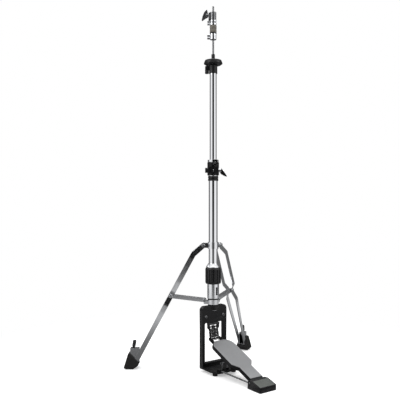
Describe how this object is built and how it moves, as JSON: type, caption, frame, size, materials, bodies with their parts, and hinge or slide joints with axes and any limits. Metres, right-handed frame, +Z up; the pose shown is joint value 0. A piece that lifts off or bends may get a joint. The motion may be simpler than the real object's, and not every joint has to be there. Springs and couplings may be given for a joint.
{
  "type": "hi-hat stand",
  "caption": "Two-legged hi-hat stand: pedal with chain drive, sprung pull rod, telescopic tubes, folding legs, tilting cymbal seat and clutch.",
  "frame": {"origin": "on the floor under the column's axis, at the middle of the centre floor pad", "axes": "+Z up along the column, -Y from the column towards the heel of the pedal, +X to the right of a viewer who looks along +Y"},
  "size_m": [0.4984, 0.4518, 1.161],
  "materials": {
    "chrome": "bright polished plate",
    "steel": "satin zinc",
    "black_paint": "satin black enamel",
    "black_plastic": "fine moulded grain",
    "rubber": "matte",
    "tread": "cast, satin grey",
    "felt": "pressed wool felt",
    "dark_felt": "pressed wool felt",
    "heel_rubber": "matte",
    "chain": "oiled dark steel"
  },
  "bodies": {
    "base": {"pedal_frame": "black_paint", "frame_bolts": "chrome", "base_plate": "black_paint", "floor_pads": "rubber", "radius_rods": "steel", "heel_plate": "black_paint", "heel_pad": "heel_rubber", "heel_hinge_pin": "steel", "neck_tube": "steel", "thrust_ring": "black_plastic", "spring_housing": "chrome", "dial_cone": "chrome", "lower_tube": "chrome", "clamp_sleeve": "black_plastic", "clamp_ring": "chrome", "clamp_body": "black_paint", "clamp_nut": "black_paint"},
    "left_spur": {"spur_left": "steel"},
    "right_spur": {"spur_right": "steel"},
    "footboard": {"footboard_carrier": "black_paint", "footboard_tread": "tread", "toe_clamp": "black_paint"},
    "rod": {"rod_end": "chain", "pull_rod": "steel", "spring_cup": "black_plastic", "return_spring": "steel"},
    "chain": {"drive_chain": "chain"},
    "dial": {"tension_dial": "black_plastic"},
    "spring_seat": {"spring_seat": "black_plastic"},
    "clamp_screw": {"clamp_screw": "chrome"},
    "upper_column": {"upper_tube": "chrome", "memory_lock": "chrome", "memory_lock_bolt": "steel", "seat_holder": "black_plastic"},
    "tilter_screw": {"tilter_screw": "black_plastic"},
    "cymbal_seat": {"seat_cup": "black_plastic", "seat_felt": "dark_felt", "seat_sleeve": "black_plastic"},
    "clutch": {"clutch_body": "chrome", "clutch_ring_nuts": "chrome", "clutch_felts": "felt", "clutch_washer": "black_plastic"},
    "clutch_wing": {"clutch_wing_screw": "chrome"},
    "clutch_bottom_nut": {"clutch_bottom_nut": "chrome"},
    "stay_carrier": {"stay_collar": "chrome", "stay_pins": "steel"},
    "leg_carrier": {"leg_collar": "chrome", "leg_bolts": "steel"},
    "left_leg": {"left_leg_bars": "chrome", "left_foot_bracket": "steel", "left_foot_boot": "rubber"},
    "left_foot_bolt": {"left_foot_bolt": "black_paint"},
    "left_stay": {"left_stay": "chrome"},
    "right_leg": {"right_leg_bars": "chrome", "right_foot_bracket": "steel", "right_foot_boot": "rubber"},
    "right_foot_bolt": {"right_foot_bolt": "black_paint"},
    "right_stay": {"right_stay": "chrome"}
  },
  "joints": [
    {"name": "footboard_hinge", "type": "hinge", "parent": "base", "child": "footboard", "pos_m": [0, -0.213, 0.018], "axis": [-1, 0, 0], "range_deg": [0, 10], "stiffness_Nm_per_rad": 10, "springref_deg": -20.05},
    {"name": "rod_slide", "type": "slide", "parent": "base", "child": "rod", "axis": [0, 0, 1], "range_m": [-0.0366, 0.0005], "deforming": ["return_spring"]},
    {"name": "chain_swing", "type": "hinge", "parent": "rod", "child": "chain", "pos_m": [0, 0, 0.136], "axis": [1, 0, 0], "range_deg": [-0.5, 17.89]},
    {"name": "dial_spin", "type": "hinge", "parent": "base", "child": "dial", "pos_m": [0, 0, 0.3], "axis": [0, 0, 1], "range_deg": [-600, 600]},
    {"name": "spring_seat_slide", "type": "slide", "parent": "base", "child": "spring_seat", "axis": [0, 0, 1], "range_m": [-0.0101, 0.0101]},
    {"name": "height_slide", "type": "slide", "parent": "base", "child": "upper_column", "axis": [0, 0, 1], "range_m": [0, 0.024]},
    {"name": "clamp_screw_spin", "type": "hinge", "parent": "base", "child": "clamp_screw", "pos_m": [-0.01045, -0.01465, 0.635], "axis": [0.8141, -0.5807, 0], "continuous": true},
    {"name": "seat_tilt", "type": "hinge", "parent": "upper_column", "child": "cymbal_seat", "pos_m": [0, 0, 0.9765], "axis": [0.5807, 0.8141, 0], "range_deg": [0, 2.5]},
    {"name": "tilter_screw_spin", "type": "hinge", "parent": "upper_column", "child": "tilter_screw", "pos_m": [-0.01628, 0.01161, 0.951], "axis": [0, 0, 1], "continuous": true},
    {"name": "clutch_slide", "type": "slide", "parent": "rod", "child": "clutch", "axis": [0, 0, 1], "range_m": [-0.01, 0.016]},
    {"name": "clutch_wing_spin", "type": "hinge", "parent": "clutch", "child": "clutch_wing", "pos_m": [-0.01221, 0.00871, 1.131], "axis": [0.8141, -0.5807, 0], "continuous": true},
    {"name": "clutch_nut_spin", "type": "hinge", "parent": "clutch", "child": "clutch_bottom_nut", "pos_m": [0, 0, 1.055], "axis": [0, 0, 1], "continuous": true},
    {"name": "left_spur_spin", "type": "hinge", "parent": "base", "child": "left_spur", "pos_m": [-0.01, -0.06, 0.02], "axis": [0, 0, 1], "continuous": true},
    {"name": "right_spur_spin", "type": "hinge", "parent": "base", "child": "right_spur", "pos_m": [0.01, -0.06, 0.02], "axis": [0, 0, 1], "continuous": true},
    {"name": "leg_swivel", "type": "hinge", "parent": "base", "child": "stay_carrier", "pos_m": [0, 0, 0.216], "axis": [0, 0, 1], "range_deg": [-20, 20]},
    {"name": "leg_collar_slide", "type": "slide", "parent": "stay_carrier", "child": "leg_carrier", "axis": [0, 0, 1], "range_m": [-0.0005, 0.1213]},
    {"name": "left_leg_fold", "type": "hinge", "parent": "leg_carrier", "child": "left_leg", "pos_m": [-0.02443, 0.01909, 0.396], "axis": [-0.6157, -0.788, 0], "range_deg": [0, 24]},
    {"name": "left_stay_fold", "type": "hinge", "parent": "stay_carrier", "child": "left_stay", "pos_m": [-0.02206, 0.01724, 0.221], "axis": [0.6157, 0.788, 0], "range_deg": [-0.5, 66.69]},
    {"name": "left_foot_bolt_spin", "type": "hinge", "parent": "left_leg", "child": "left_foot_bolt", "pos_m": [-0.19858, 0.15515, 0.09], "axis": [0.1368, -0.1069, 0.9848], "continuous": true},
    {"name": "right_leg_fold", "type": "hinge", "parent": "leg_carrier", "child": "right_leg", "pos_m": [0.02737, 0.01455, 0.396], "axis": [-0.4695, 0.8829, 0], "range_deg": [-0.5, 24.5]},
    {"name": "right_stay_fold", "type": "hinge", "parent": "stay_carrier", "child": "right_stay", "pos_m": [0.02472, 0.01315, 0.221], "axis": [0.4695, -0.8829, 0], "range_deg": [-0.5, 66.69]},
    {"name": "right_foot_bolt_spin", "type": "hinge", "parent": "right_leg", "child": "right_foot_bolt", "pos_m": [0.2225, 0.11831, 0.09], "axis": [-0.1533, -0.0815, 0.9848], "continuous": true}
  ],
  "couplings": [
    {"joint": "rod_slide", "follows": "footboard_hinge", "m_per_rad": -0.20683},
    {"joint": "chain_swing", "follows": "footboard_hinge", "ratio": 1.7389},
    {"joint": "spring_seat_slide", "follows": "dial_spin", "m_per_rad": 0.0009549},
    {"joint": "leg_collar_slide", "follows": "left_leg_fold", "m_per_rad": 0.28712},
    {"joint": "right_leg_fold", "follows": "left_leg_fold", "ratio": 1},
    {"joint": "left_stay_fold", "follows": "left_leg_fold", "ratio": 2.7579},
    {"joint": "right_stay_fold", "follows": "left_leg_fold", "ratio": 2.7579}
  ]
}
